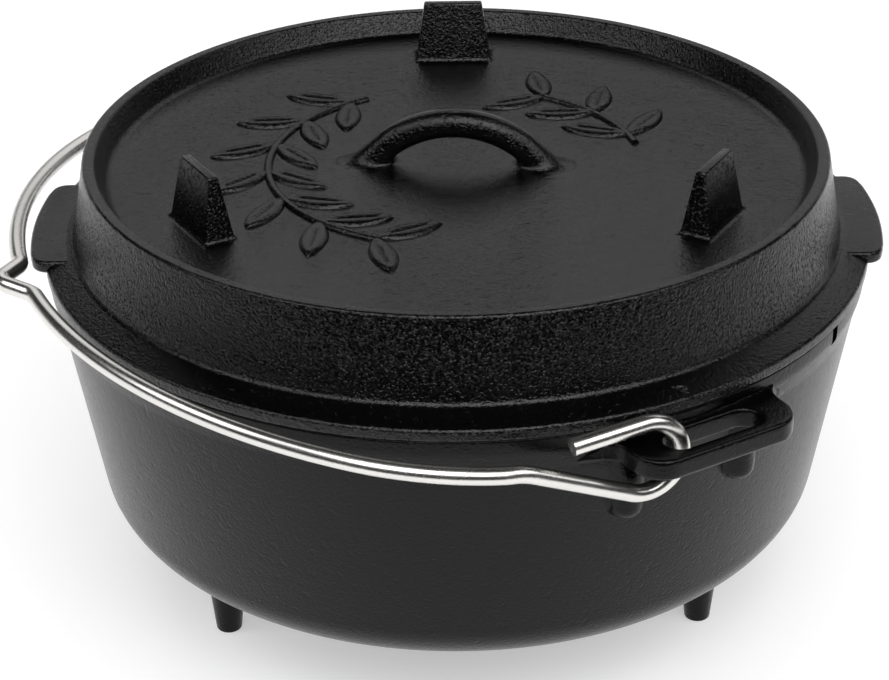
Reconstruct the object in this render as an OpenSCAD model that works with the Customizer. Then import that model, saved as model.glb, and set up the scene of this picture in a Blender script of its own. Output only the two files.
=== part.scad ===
// Camp oven of cast iron: a three-footed pot, a flat lid with legs, and a wire bail.
// Millimetres, +Z up, floor at z = 0, pot axis on Z, pot ears on +X and -X.

/* [Pot] */
// outer radius of the pot at its rim band
pot_rim_radius = 149; // [145:0.5:149.5]
// height of the rim above the floor
pot_rim_height = 137; // [130:1:145]
// height of the rim band
pot_band_height = 8; // [6:0.5:10]
// height of the pot underside above the floor
pot_base_height = 36; // [28:1:44]
// inward lean of the wall over the height of the pot
pot_taper = 17; // [11:0.5:23]
// outer rounding between wall and underside
pot_corner_radius = 21; // [14:0.5:26]
// wall thickness
pot_wall = 5; // [4:0.1:6]
// bottom thickness
pot_floor = 5.5; // [4:0.1:7]
// width of the cable notch in the rim band
notch_width = 3.4; // [2:0.1:6]
// height of the cable notch
notch_height = 7; // [4:0.1:7.6]
// bearing of the cable notch about the pot axis
notch_bearing = 29; // [20:1:35]

/* [Pot feet] */
// distance of each foot inwards from the base radius of the pot
foot_inset = 30.4; // [28:0.2:42]
// radius of the foot where it stands
foot_tip_radius = 4.7; // [3.5:0.1:6]
// radius of the foot at the pot
foot_root_radius = 8.5; // [7:0.1:10]
// bearing of the first foot
foot_bearing = 30; // [20:1:40]

/* [Pot ears] */
// half length of an ear along the wall
ear_half_length = 30.8; // [30:0.2:32]
// height of the ear top above the lower edge of the rim band
ear_rise = 3.2; // [2.8:0.1:3.6]
// thickness of an ear
ear_thickness = 7.5; // [7.2:0.1:7.8]
// rounding of the outer corners of an ear
ear_corner = 10.8; // [8:0.2:13]
// rounding between ear and wall
ear_root = 9; // [7:0.5:10]
// distance between the rim band and the slot
slot_gap = 2.4; // [2:0.1:2.6]
// width of the slot
slot_width = 10.8; // [10.4:0.1:11]
// width of the bar outside the slot
ear_bar = 5; // [4.5:0.1:7]
// width of the bar at each end of the slot
ear_end_bar = 12.2; // [11.8:0.1:12.6]
// bearing of the lugs under an ear, to each side
lug_bearing = 9.2; // [8:0.1:11]
// depth of the lug axis behind the wall, below the ear
lug_sink = 3.7; // [3:0.1:4.3]
// radius of a lug at the ear
lug_radius = 7; // [5:0.1:7.2]
// radius of a lug at its rounded end
lug_tip_radius = 6; // [4:0.1:6.5]
// height of a lug below the ear
lug_drop = 25.8; // [20:0.2:28]

/* [Lid] */
// gap between the pot rim and the lid seat
seat_gap = 0.3; // [0.2:0.05:0.5]
// reach of the flange beyond the pot rim
flange_reach = 1; // [0.5:0.1:1.4]
// thickness of the flange at its edge
flange_edge = 4; // [3:0.1:5]
// width of the flange outside the side wall
flange_width = 10.5; // [9:0.1:12]
// height of the crease above the seat
crease_height = 7.6; // [6.5:0.1:9]
// inward lean of the side wall over its height
side_taper = 5.2; // [3:0.1:8]
// height of the raised rim above the seat
lid_height = 37; // [32:0.5:42]
// width of the rim top
lid_rim_width = 4.2; // [3:0.1:5.5]
// depth of the tray inside the rim
tray_depth = 8.4; // [6:0.1:10]
// inward slope of the rim down to the tray floor
tray_slope = 4.1; // [2:0.1:7]
// thickness of the lid plate
lid_plate = 5.5; // [4:0.1:7]
// thickness of the lid side wall
lid_wall = 5; // [4:0.1:6]
// clearance between the locating ring and the pot wall
ring_clearance = 1.2; // [0.8:0.1:2]
// depth of the locating ring below the seat
ring_depth = 6; // [4:0.1:8]
// depth of the small mark in the flange edge
mark_depth = 4.5; // [2:0.1:6]
// half width of the small mark
mark_half_width = 3.4; // [2:0.1:5]
// bearing of the small mark
mark_bearing = -3.5; // [-10:0.1:10]
// thickness of the flange under the mark
mark_floor = 1; // [0.6:0.1:2]

/* [Lid fittings] */
// distance of the middle of each leg inwards from the tray edge
leg_inset = 24.45; // [20:0.05:28]
// radial thickness of a leg at the tray
leg_thickness = 11.1; // [9:0.1:14]
// half width of a leg at the tray
leg_half_width = 14.5; // [12:0.1:17]
// height of a leg above the tray
leg_height = 23.1; // [18:0.1:28]
// radial thickness of a leg at its top
leg_top_thickness = 3.6; // [2.5:0.1:5]
// half width of a leg at its top
leg_top_half_width = 11.3; // [9:0.1:12]
// bearing of the first leg
leg_bearing = 28.7; // [25:0.1:33]
// radius of the loop bar
loop_bar_radius = 5.25; // [4:0.05:6]
// half distance between the loop feet, bar middle to bar middle
loop_half_span = 31.5; // [28:0.1:35]
// rise of the bar middle above the tray
loop_rise = 15.8; // [14:0.1:19]
// bearing of the loop
loop_bearing = 54.2; // [46:0.1:62]
// reach of the lifting tabs beyond the flange
tab_reach = 5; // [3:0.1:5.4]
// half width of a tab
tab_half_width = 33; // [26:0.2:35]
// height of the tab top above the seat
tab_top = 6.7; // [5.5:0.1:7.2]
// thickness of a tab
tab_thickness = 4.6; // [3:0.1:5]
// rounding of the tab corners
tab_corner = 5; // [2:0.1:8]
// bearing of the first tab
tab_bearing = 58.7; // [55:0.1:63]
// height of the leaf relief above the tray
relief_height = 1.6; // [0.8:0.1:2.5]
// length of a leaf
leaf_length = 27; // [20:0.5:30]
// width of a leaf
leaf_width = 10.5; // [7:0.1:11]
// gap between the leaf tips and the legs
leaf_gap = 6.7; // [5:0.1:10]
// angle between a leaf and the radius through its foot
leaf_lean = 38; // [30:1:45]
// width of the stem
stem_width = 3; // [2:0.1:5]

/* [Bail] */
// diameter of the wire
wire_diameter = 6; // [4.5:0.1:6.2]
// gap between a hook and the corners of the bar inside it
hook_gap = 0.6; // [0.55:0.05:0.9]
// length of the straight free end of a hook
hook_free_end = 25; // [18:0.2:25.4]
// angle at which the free end leans in
hook_free_lean = 12; // [10:0.5:13]
// angle at which the arm leans back to the plane of the bail
hook_arm_lean = 17.5; // [17:0.5:19]
// height of the swing axis below the ear middle at the front hook
pivot_drop = 1.45; // [1.2:0.05:1.6]
// height of the swing axis above the ear middle at the rear hook
pivot_rise = 2.75; // [2.6:0.05:2.9]
// distance of the swing axis from the middle of the end bar towards the slot
pivot_shift = 0.6; // [0.4:0.1:0.8]
// distance of the swing axis inwards from the slot middle
pivot_inset = 3.2; // [3:0.1:3.4]
// angle of the folded bail above level
fold_angle = 6.3; // [6:0.1:8]
// turn of the bow against the line through the hooks
bail_skew = 3.6; // [1:0.1:4]
// gap between the folded bail and the lid tabs at the bail middle
bail_gap = 2.1; // [1.8:0.1:3]
// radius of the bail shoulders
shoulder_radius = 98; // [94:0.5:106]
// small bend between arm and shoulder
arm_bend = 10; // [7:0.5:10.5]
// radius of the small bends
bend_radius = 25; // [18:0.5:28]
// height of the hanging kink beyond the bail
kink_height = 8.2; // [7:0.1:12]
// slope of the kink sides
kink_slope = 42; // [38:1:48]
// radius of the bend at the kink tip
kink_tip_radius = 6.5; // [5:0.1:8]
// radius of the bends at the kink foot
kink_foot_radius = 8; // [6:0.1:10]

/* [Hidden] */
iron = [0.17, 0.17, 0.17];
steel = [0.8, 0.8, 0.8];
overlap = 1;

// wall line of the pot, down to where it meets the underside before rounding
pot_base_radius = pot_rim_radius - pot_taper;
wall_top_z = pot_rim_height - pot_band_height;
wall_lean = atan(pot_taper / (pot_rim_height - pot_base_height));
function wall_radius(z) = pot_base_radius + (z - pot_base_height) * tan(wall_lean);
function inner_radius(z) = wall_radius(z) - pot_wall / cos(wall_lean);
corner_x = pot_base_radius - pot_corner_radius * (1 - sin(wall_lean)) / cos(wall_lean);
corner_z = pot_base_height + pot_corner_radius;
inner_corner = pot_corner_radius - pot_wall;
floor_z = pot_base_height + pot_floor;
inner_corner_x = inner_radius(floor_z) - inner_corner * (1 - sin(wall_lean)) / cos(wall_lean);

// feet, ears and lugs
foot_distance = pot_base_radius - foot_inset;
ear_top = wall_top_z + ear_rise;
ear_bottom = ear_top - ear_thickness;
ear_middle = ear_top - ear_thickness / 2;
slot_inner = pot_rim_radius + slot_gap;
slot_outer = slot_inner + slot_width;
slot_half_length = ear_half_length - ear_end_bar;
ear_reach = slot_outer + ear_bar;
ear_inside = slot_inner - 2 * ear_half_length;
root_reach = sqrt(pow(pot_rim_radius + ear_root - 0.5, 2) - pow(ear_half_length + ear_root, 2));
lug_distance = wall_radius(ear_bottom) - lug_sink;

// lid radii and levels
flange_radius = pot_rim_radius + flange_reach;
crease_radius = flange_radius - flange_width;
lid_rim_radius = crease_radius - side_taper;
tray_radius = lid_rim_radius - lid_rim_width - tray_slope;
seat_z = pot_rim_height + seat_gap;
lid_top_z = seat_z + lid_height;
tray_z = lid_top_z - tray_depth;
ring_draft = 0.5;
ring_outer = inner_radius(pot_rim_height - ring_depth) - ring_clearance;
side_lean = (crease_radius - lid_rim_radius) / (lid_height - crease_height);
function side_radius(z) = crease_radius - (z - seat_z - crease_height) * side_lean;

// legs, tabs and loop
leg_distance = tray_radius - leg_inset;
leg_inner = leg_distance - leg_thickness / 2;
leg_outer = leg_distance + leg_thickness / 2;
tab_radius = flange_radius + tab_reach;
tab_inside = flange_radius - 2 * tab_half_width;
loop_cut = 2 * (loop_half_span + loop_rise + loop_bar_radius);
loop_radius = (loop_half_span * loop_half_span + loop_rise * loop_rise) / (2 * loop_rise);

// leaf made of two circles
leaf_circle = (leaf_length * leaf_length + leaf_width * leaf_width) / (4 * leaf_width);
leaf_shift = leaf_circle - leaf_width / 2;
leaf_sink = 0.5;
stem_radius = leg_inner - leaf_gap - leaf_length * cos(leaf_lean);
stem_reach = 3 * stem_radius;

// bail: the swing axis runs from the end bar of one ear to the opposite end bar of the other
wire_radius = wire_diameter / 2;
wire_step = 0.05;
wire_lap = 0.6;
pivot_y = (ear_half_length + slot_half_length) / 2 - pivot_shift;
pivot_x = (slot_inner + slot_outer) / 2 - pivot_inset;
pivot_z = ear_middle + (pivot_rise - pivot_drop) / 2;
bar_corner = sqrt(pow(ear_end_bar / 2 + pivot_shift, 2)
    + pow(ear_thickness / 2 + max(pivot_rise, pivot_drop), 2));
hook_radius = bar_corner + wire_radius + hook_gap;
bail_reach = tab_radius + wire_radius + bail_gap;
bail_yaw = atan(pivot_y / pivot_x);
pivot_distance = sqrt(pivot_x * pivot_x + pivot_y * pivot_y);
bail_tilt = atan((pivot_rise + pivot_drop) / (2 * pivot_distance));
half_span = pivot_distance / cos(bail_tilt);
arm_cross = hook_radius / sin(hook_arm_lean);
arm_blend = bend_radius * tan(hook_arm_lean / 2);
arm_start = hook_radius * sin(hook_arm_lean);
arm_straight = hook_radius / tan(hook_arm_lean) - arm_blend;
arm_end = arm_cross + arm_blend;
bend_lap = wire_lap / bend_radius * 180 / PI;

// bow: side is 1 for the front half and -1 for the rear half
shoulder_center = [half_span - bend_radius + (bend_radius - shoulder_radius) * cos(arm_bend),
    -arm_end - (bend_radius - shoulder_radius) * sin(arm_bend)];
function bow_across(side) = shoulder_center[0] * cos(bail_skew) - side * shoulder_center[1] * sin(bail_skew);
function bow_along(side) = bail_reach - shoulder_radius + shoulder_center[1] * cos(bail_skew)
    + side * shoulder_center[0] * sin(bail_skew);
function shoulder_turn(side) = 90 - 2 * atan(bow_along(side) / bow_across(side));
function bow_radius(side) = shoulder_radius + bow_across(side) / cos(shoulder_turn(side));
function bow_center(side) = bail_reach - bow_radius(side);

// kink: the foot bend touches the bow from outside and the kink side in a straight line
kink_top = bail_reach + kink_height;
side_start = [kink_tip_radius * sin(kink_slope), kink_top - kink_tip_radius * (1 - cos(kink_slope))];
foot_shift = [kink_foot_radius * sin(kink_slope), kink_foot_radius * cos(kink_slope)];
function side_offset(side) = side_start + foot_shift - [0, bow_center(side)];
function side_half(side) = side_offset(side) * [cos(kink_slope), -sin(kink_slope)];
function side_rest(side) = side_offset(side) * side_offset(side) - pow(bow_radius(side) + kink_foot_radius, 2);
function kink_run(side) = -side_half(side) - sqrt(pow(side_half(side), 2) - side_rest(side));
function foot_center(side) = side_start + foot_shift + kink_run(side) * [cos(kink_slope), -sin(kink_slope)];
function foot_turn(side) = atan2(foot_center(side)[0], foot_center(side)[1] - bow_center(side));

// solids of revolution

module pot_outside() {
    rotate_extrude($fn = 180) {
        union() {
            polygon([[0, pot_base_height],
                [corner_x, pot_base_height],
                [corner_x + pot_corner_radius * cos(wall_lean),
                    corner_z - pot_corner_radius * sin(wall_lean)],
                [wall_radius(wall_top_z), wall_top_z],
                [0, wall_top_z]]);
            translate([corner_x, corner_z])
                circle(r = pot_corner_radius, $fn = 96);
        }
    }
}

module pot_inside() {
    rotate_extrude($fn = 180) {
        union() {
            polygon([[0, floor_z],
                [inner_corner_x, floor_z],
                [inner_corner_x + inner_corner * cos(wall_lean),
                    floor_z + inner_corner * (1 - sin(wall_lean))],
                [inner_radius(wall_top_z + overlap), wall_top_z + overlap],
                [0, wall_top_z + overlap]]);
            translate([inner_corner_x, floor_z + inner_corner])
                circle(r = inner_corner, $fn = 96);
        }
    }
}

module band_outside() {
    rotate_extrude($fn = 180)
        polygon([[0, wall_top_z],
            [wall_radius(wall_top_z), wall_top_z],
            [pot_rim_radius, wall_top_z + 2],
            [pot_rim_radius, pot_rim_height],
            [0, pot_rim_height]]);
}

module lid_solid() {
    rotate_extrude($fn = 180)
        polygon([[0, tray_z],
            [tray_radius, tray_z],
            [lid_rim_radius - lid_rim_width, lid_top_z],
            [lid_rim_radius, lid_top_z],
            [crease_radius, seat_z + crease_height],
            [flange_radius, seat_z + flange_edge],
            [flange_radius, seat_z],
            [ring_outer, seat_z],
            [ring_outer - ring_draft, seat_z - ring_depth],
            [side_radius(seat_z) - lid_wall, seat_z - ring_depth],
            [side_radius(tray_z - lid_plate) - lid_wall, tray_z - lid_plate],
            [0, tray_z - lid_plate]]);
}

// pot

module pot_shell() {
    color(iron)
        difference() {
            pot_outside();
            pot_inside();
        }
}

module pot_rim() {
    color(iron)
        difference() {
            rotate_extrude($fn = 180)
                polygon([[inner_radius(wall_top_z), wall_top_z],
                    [wall_radius(wall_top_z), wall_top_z],
                    [pot_rim_radius, wall_top_z + 2],
                    [pot_rim_radius, pot_rim_height],
                    [inner_radius(pot_rim_height), pot_rim_height]]);
            rotate([0, 0, notch_bearing])
                translate([pot_rim_radius - 2 * pot_wall, -notch_width / 2, pot_rim_height - notch_height])
                    cube([3 * pot_wall, notch_width, notch_height + overlap]);
        }
}

module ear_root_fillet() {
    difference() {
        translate([ear_inside, 0])
            square([root_reach - ear_inside, ear_half_length + ear_root]);
        translate([root_reach, ear_half_length + ear_root])
            circle(r = ear_root, $fn = 64);
    }
}

module ear_outline() {
    difference() {
        union() {
            translate([ear_inside, -ear_half_length])
                square([ear_reach - ear_corner - ear_inside, 2 * ear_half_length]);
            translate([ear_reach - ear_corner - overlap, -ear_half_length + ear_corner])
                square([ear_corner + overlap, 2 * (ear_half_length - ear_corner)]);
            for (side = [-1, 1])
                translate([ear_reach - ear_corner, side * (ear_half_length - ear_corner)])
                    circle(r = ear_corner, $fn = 64);
            ear_root_fillet();
            mirror([0, 1])
                ear_root_fillet();
        }
        translate([slot_inner, -slot_half_length + slot_width / 2])
            square([slot_width, 2 * slot_half_length - slot_width]);
        for (side = [-1, 1])
            translate([slot_inner + slot_width / 2, side * (slot_half_length - slot_width / 2)])
                circle(r = slot_width / 2, $fn = 64);
    }
}

module ear() {
    color(iron)
        difference() {
            translate([0, 0, ear_bottom])
                linear_extrude(height = ear_thickness)
                    ear_outline();
            pot_outside();
            band_outside();
        }
}

module lug(side) {
    color(iron)
        difference() {
            rotate([0, 0, side * lug_bearing])
                translate([lug_distance, 0, ear_bottom - lug_drop + lug_tip_radius])
                    union() {
                        cylinder(h = lug_drop - lug_tip_radius,
                            r1 = lug_tip_radius, r2 = lug_radius, $fn = 64);
                        sphere(r = lug_tip_radius, $fn = 64);
                    }
            pot_outside();
        }
}

module foot(index) {
    color(iron)
        rotate([0, 0, foot_bearing + index * 120])
            translate([foot_distance, 0, 0])
                cylinder(h = pot_base_height, r1 = foot_tip_radius, r2 = foot_root_radius, $fn = 64);
}

module pot_ear_front() {
    ear();
}

module pot_ear_rear() {
    rotate([0, 0, 180])
        ear();
}

module pot_lug_front_left() {
    lug(-1);
}

module pot_lug_front_right() {
    lug(1);
}

module pot_lug_rear_left() {
    rotate([0, 0, 180])
        lug(-1);
}

module pot_lug_rear_right() {
    rotate([0, 0, 180])
        lug(1);
}

module pot_foot_a() {
    foot(0);
}

module pot_foot_b() {
    foot(1);
}

module pot_foot_c() {
    foot(2);
}

// lid

module lid_shell() {
    color(iron)
        difference() {
            lid_solid();
            rotate([0, 0, mark_bearing])
                translate([flange_radius, 0, seat_z + mark_floor])
                    linear_extrude(height = lid_height)
                        polygon([[overlap, -mark_half_width], [overlap, mark_half_width], [-mark_depth, 0]]);
        }
}

module leg(index) {
    color(iron)
        rotate([0, 0, leg_bearing + index * 120])
            intersection() {
                translate([0, 2 * leg_half_width, tray_z])
                    rotate([90, 0, 0])
                        linear_extrude(height = 4 * leg_half_width)
                            polygon([[leg_inner, 0], [leg_outer, 0],
                                [leg_distance + leg_top_thickness / 2, leg_height],
                                [leg_distance - leg_top_thickness / 2, leg_height]]);
                translate([leg_inner - leg_thickness, 0, tray_z])
                    rotate([90, 0, 90])
                        linear_extrude(height = 3 * leg_thickness)
                            polygon([[-leg_half_width, 0], [leg_half_width, 0],
                                [leg_top_half_width, leg_height], [-leg_top_half_width, leg_height]]);
            }
}

module lid_leg_a() {
    leg(0);
}

module lid_leg_b() {
    leg(1);
}

module lid_leg_c() {
    leg(2);
}

module lid_loop() {
    color(iron)
        rotate([0, 0, loop_bearing])
            difference() {
                translate([0, 0, tray_z + loop_rise - loop_radius])
                    rotate([90, 0, 0])
                        rotate_extrude(angle = 180, $fn = 128)
                            translate([loop_radius, 0])
                                circle(r = loop_bar_radius, $fn = 48);
                translate([-loop_cut / 2, -loop_cut / 2, tray_z - loop_cut])
                    cube(loop_cut);
            }
}

module tab_outline() {
    intersection() {
        circle(r = tab_radius, $fn = 180);
        union() {
            translate([tab_inside, -tab_half_width])
                square([flange_radius - tab_corner - tab_inside, 2 * tab_half_width]);
            translate([tab_inside, -tab_half_width + tab_corner])
                square([tab_radius - tab_inside, 2 * (tab_half_width - tab_corner)]);
            for (side = [-1, 1])
                translate([flange_radius - tab_corner, side * (tab_half_width - tab_corner)])
                    circle(r = tab_corner, $fn = 48);
        }
    }
}

module tab(turn) {
    color(iron)
        rotate([0, 0, tab_bearing + turn])
            difference() {
                translate([0, 0, seat_z + tab_top - tab_thickness])
                    linear_extrude(height = tab_thickness)
                        tab_outline();
                lid_solid();
                cylinder(h = 2 * lid_top_z, r = crease_radius, $fn = 180);
            }
}

module lid_tab_right() {
    tab(0);
}

module lid_tab_left() {
    tab(180);
}

module leaf() {
    translate([leaf_length / 2, 0])
        difference() {
            intersection() {
                translate([0, leaf_shift])
                    circle(r = leaf_circle, $fn = 96);
                translate([0, -leaf_shift])
                    circle(r = leaf_circle, $fn = 96);
            }
            translate([-leaf_length * 0.32, -0.6])
                square([leaf_length * 0.62, 1.2]);
        }
}

module stem(start, sweep) {
    rotate([0, 0, start])
        intersection() {
            difference() {
                circle(r = stem_radius + stem_width / 2, $fn = 180);
                circle(r = stem_radius - stem_width / 2, $fn = 180);
            }
            polygon([[0, 0],
                [stem_reach, 0],
                [stem_reach * cos(sweep / 2), stem_reach * sin(sweep / 2)],
                [stem_reach * cos(sweep), stem_reach * sin(sweep)]]);
        }
}

module lid_relief_wreath() {
    color(iron)
        translate([0, 0, tray_z])
            linear_extrude(height = relief_height)
                union() {
                    stem(178, 128);
                    for (bearing = [184 : 20 : 304])
                        rotate([0, 0, bearing]) {
                            translate([stem_radius - leaf_sink, 0])
                                rotate([0, 0, leaf_lean])
                                    leaf();
                            translate([stem_radius + leaf_sink, 0])
                                rotate([0, 0, 180 - leaf_lean])
                                    leaf();
                        }
                }
}

module lid_relief_sprig() {
    color(iron)
        translate([0, 0, tray_z])
            linear_extrude(height = relief_height)
                union() {
                    stem(72, 46);
                    for (bearing = [78 : 20 : 118])
                        rotate([0, 0, bearing]) {
                            translate([stem_radius - leaf_sink, 0])
                                rotate([0, 0, leaf_lean])
                                    leaf();
                            translate([stem_radius + leaf_sink, 0])
                                rotate([0, 0, 180 - leaf_lean])
                                    leaf();
                        }
                }
}

// bail, drawn in its own plane: x across, -y away from the swing axis

module bail_place() {
    rotate([0, 0, -bail_yaw])
        translate([0, 0, pivot_z])
            rotate([0, bail_tilt, 0])
                rotate([-fold_angle, 0, 0])
                    children();
}

module wire_arc(radius, start, sweep, extra = 0) {
    rotate([0, 0, start])
        rotate_extrude(angle = sweep, $fn = 128)
            translate([radius, 0])
                circle(r = wire_radius + extra, $fn = 48);
}

// straight lengths are a hair thicker and reach into the bends at both ends
module wire_run(length) {
    translate([-wire_lap, 0, 0])
        rotate([0, 90, 0])
            cylinder(h = length + 2 * wire_lap, r = wire_radius + wire_step, $fn = 48);
}

// one hook, in the plane x = half_span, from the free end to the flat part of the arm
module hook() {
    color(steel)
        translate([half_span, 0, 0])
            rotate([0, 0, -90])
                rotate([90, 0, 0])
                    union() {
                        wire_arc(hook_radius, 90 - hook_free_lean, 180 + hook_free_lean + hook_arm_lean);
                        translate([hook_radius * sin(hook_free_lean), hook_radius * cos(hook_free_lean), 0])
                            rotate([0, 0, -hook_free_lean])
                                wire_run(hook_free_end);
                        translate([arm_start, -hook_radius * cos(hook_arm_lean), 0])
                            rotate([0, 0, hook_arm_lean])
                                wire_run(arm_straight);
                        translate([arm_end, -bend_radius, 0])
                            wire_arc(bend_radius, 90, hook_arm_lean);
                    }
}

// one half of the bow, from the arm to the foot of the kink
module arm(side) {
    color(steel)
        union() {
            translate([half_span - bend_radius, -arm_end, 0])
                wire_arc(bend_radius, -arm_bend - bend_lap, arm_bend + bend_lap, wire_step);
            translate([shoulder_center[0], shoulder_center[1], 0])
                wire_arc(shoulder_radius, -shoulder_turn(side) - side * bail_skew,
                    shoulder_turn(side) + side * bail_skew - arm_bend);
        }
}

module bow(side) {
    color(steel)
        rotate([0, 0, -side * bail_skew])
            translate([0, -bow_center(side), 0])
                wire_arc(bow_radius(side), -90 + foot_turn(side), 90 - foot_turn(side) - shoulder_turn(side));
}

module kink_half(side) {
    union() {
        translate([foot_center(side)[0], -foot_center(side)[1], 0])
            wire_arc(kink_foot_radius, 90 + foot_turn(side), kink_slope - foot_turn(side));
        translate([side_start[0], -side_start[1], 0])
            rotate([0, 0, kink_slope])
                wire_run(kink_run(side));
    }
}

module bail_grip() {
    color(steel)
        bail_place()
            rotate([0, 0, -bail_skew])
                union() {
                    kink_half(1);
                    mirror([1, 0, 0])
                        kink_half(-1);
                    translate([0, -kink_top + kink_tip_radius, 0])
                        wire_arc(kink_tip_radius, -90 - kink_slope, 2 * kink_slope);
                }
}

module bail_bow_front() {
    bail_place()
        bow(1);
}

module bail_bow_rear() {
    bail_place()
        mirror([1, 0, 0])
            bow(-1);
}

module bail_arm_front() {
    bail_place()
        arm(1);
}

module bail_arm_rear() {
    bail_place()
        mirror([1, 0, 0])
            arm(-1);
}

module bail_hook_front() {
    bail_place()
        hook();
}

module bail_hook_rear() {
    bail_place()
        mirror([1, 0, 0])
            mirror([0, 0, 1])
                hook();
}

pot_shell();
pot_rim();
pot_ear_front();
pot_ear_rear();
pot_lug_front_left();
pot_lug_front_right();
pot_lug_rear_left();
pot_lug_rear_right();
pot_foot_a();
pot_foot_b();
pot_foot_c();
lid_shell();
lid_leg_a();
lid_leg_b();
lid_leg_c();
lid_loop();
lid_tab_right();
lid_tab_left();
lid_relief_wreath();
lid_relief_sprig();
bail_grip();
bail_bow_front();
bail_bow_rear();
bail_arm_front();
bail_arm_rear();
bail_hook_front();
bail_hook_rear();
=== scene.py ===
import math

import bmesh
import bpy
from mathutils import Matrix, Vector


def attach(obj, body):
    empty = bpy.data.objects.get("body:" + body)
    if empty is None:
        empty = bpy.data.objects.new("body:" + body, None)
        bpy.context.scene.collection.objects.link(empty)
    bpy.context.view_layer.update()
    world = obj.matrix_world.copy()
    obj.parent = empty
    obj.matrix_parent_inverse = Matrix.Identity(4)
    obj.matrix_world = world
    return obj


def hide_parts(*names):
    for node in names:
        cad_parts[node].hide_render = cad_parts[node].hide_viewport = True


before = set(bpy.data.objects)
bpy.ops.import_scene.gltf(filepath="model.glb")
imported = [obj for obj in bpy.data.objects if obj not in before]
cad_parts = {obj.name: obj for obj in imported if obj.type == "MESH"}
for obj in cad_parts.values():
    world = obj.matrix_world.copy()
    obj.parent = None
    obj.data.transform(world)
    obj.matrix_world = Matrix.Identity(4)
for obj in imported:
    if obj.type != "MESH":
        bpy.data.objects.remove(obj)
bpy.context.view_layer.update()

scene = bpy.context.scene

# Sizes are millimetres and bearings degrees, unless a comment says otherwise; MM brings them to metres.
MM = 0.001

# Pot
RIM_RADIUS = 149.0
RIM_Z = 137.0
BAND_LOW = 123.5        # the wall starts to widen to the rim band
BAND_HIGH = 131.5       # the rim band has its full radius
BASE_Z = 36.0
BASE_RADIUS = 132.0
WALL_LEAN = math.atan(17.0 / 101.0)
WALL = 5.0
FLOOR_Z = 41.5
NOTCH_Z = RIM_Z - 3
NOTCH_SIZE = (20.0, 4.4, 8.4)
NOTCH_BEARING = 29
FOOT_DISTANCE = 101.6
FOOT_BEARING = 30
FOOT_TIP, FOOT_NECK, FOOT_FLARE = 4.7, 8.4, 12.6

# Ears with their lugs
EAR_TOP = 132.2
EAR_BOTTOM = 124.7
LUG_BOTTOM = 98.9
LUG_TOP = EAR_BOTTOM + 1.5
LUG_DISTANCE = 143.25
LUG_BEARING = 9.2
STRIP_LOW = 86          # lowest level of the strip of wall that joins ear and lugs
STRIP_TOP = RIM_Z - 1.2
STRIP_THICK = 2.6
STRIP_BEARING = 22
CORE_LOW, CORE_TOP, CORE_DEPTH = 80, 140, 3
EAR_VOXEL = 0.0007      # metres

# Lid
SEAT_Z = 137.3
LID_TOP = 174.3
TRAY_Z = 165.9
FLANGE_RADIUS = 150.0
MARK_BEARING = -3.5
LEG_DISTANCE = 101.55
LEG_HEIGHT = 23.1
LEG_BEARING = 28.7
LEG_ROOT = (11.1, 29.0)  # thickness and width at the tray
LEG_END = (3.6, 22.6)
LEG_FLARE = 1.8
LEG_BEVEL = 0.0007      # metres
LOOP_BEARING = 54.2
TAB_BEARING = 58.7
TAB_RADIUS = 155.0
TAB_HALF_WIDTH = 33
TAB_HALF_CHORD = 24.5   # half the width at the outer arc
TAB_INNER = 136
TAB_BEVEL = 0.0013      # metres
STEM_RADIUS = 68.0
SUNK = 0.8              # depth that legs and loop reach into the tray
LEVEL = 0.9             # least z of the normal of a face that counts as level

# Bail
WIRE_RADIUS = 3.0
PIVOT_X = 153.6
PIVOT_Y = 24.1
PIVOT_Z = 129.1
PIVOT_LIFT = 4.2
FOLD = 6.3
SKEW = 3.6

# Stage: lengths in metres, brightness 1 for white
CAMERA_BEARING = 58.7   # of the direction that points right in the picture
FLOOR_SIZE = (5.0, 3.1)
FLOOR_SHIFT = 1.05
FLOOR_GREY = 0.66
FLOOR_LIFT = 0.47
DARK_ROOM = 0.004
# name, place (right, away, up), aim height, width, height, watts
LAMPS = (
    ("back_panel", (0.15, 1.6, 1.35), 0.15, 2.8, 1.2, 10),
    ("front_panel", (0.2, -1.5, 1.8), 0.1, 2.4, 1.4, 44),
    ("left_panel", (-1.6, -0.6, 1.6), 0.1, 1.2, 1.2, 12),
    ("right_panel", (1.6, -0.6, 1.6), 0.1, 1.2, 1.2, 10),
    ("top_panel", (0, 0.2, 2.2), 0, 2.2, 2.2, 16))


def wall_radius(z):
    return BASE_RADIUS + (z - BASE_Z) * math.tan(WALL_LEAN)


def inner_radius(z):
    return wall_radius(z) - WALL / math.cos(WALL_LEAN)


def outside_radius(z):
    """Outside of the pot, with its rim band."""
    if z < BAND_LOW:
        return wall_radius(z)
    share = min((z - BAND_LOW) / (BAND_HIGH - BAND_LOW), 1.0)
    return wall_radius(BAND_LOW) + (RIM_RADIUS - wall_radius(BAND_LOW)) * share


# Tools for meshes

def pick(piece):
    """Makes the piece the only selected one, and the active one."""
    bpy.ops.object.select_all(action="DESELECT")
    piece.select_set(True)
    bpy.context.view_layer.objects.active = piece


def edit(piece):
    pick(piece)
    bpy.ops.object.mode_set(mode="EDIT")
    return bmesh.from_edit_mesh(piece.data)


def leave():
    bpy.ops.object.mode_set(mode="OBJECT")


def choose(piece, kind, test):
    """In edit mode, selects the vertices, edges or faces that pass the test, and nothing else."""
    bpy.ops.mesh.select_mode(type=kind)
    bpy.ops.mesh.select_all(action="DESELECT")
    mesh = bmesh.from_edit_mesh(piece.data)
    for part in {"VERT": mesh.verts, "EDGE": mesh.edges, "FACE": mesh.faces}[kind]:
        part.select = test(part)
    bmesh.update_edit_mesh(piece.data)


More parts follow.
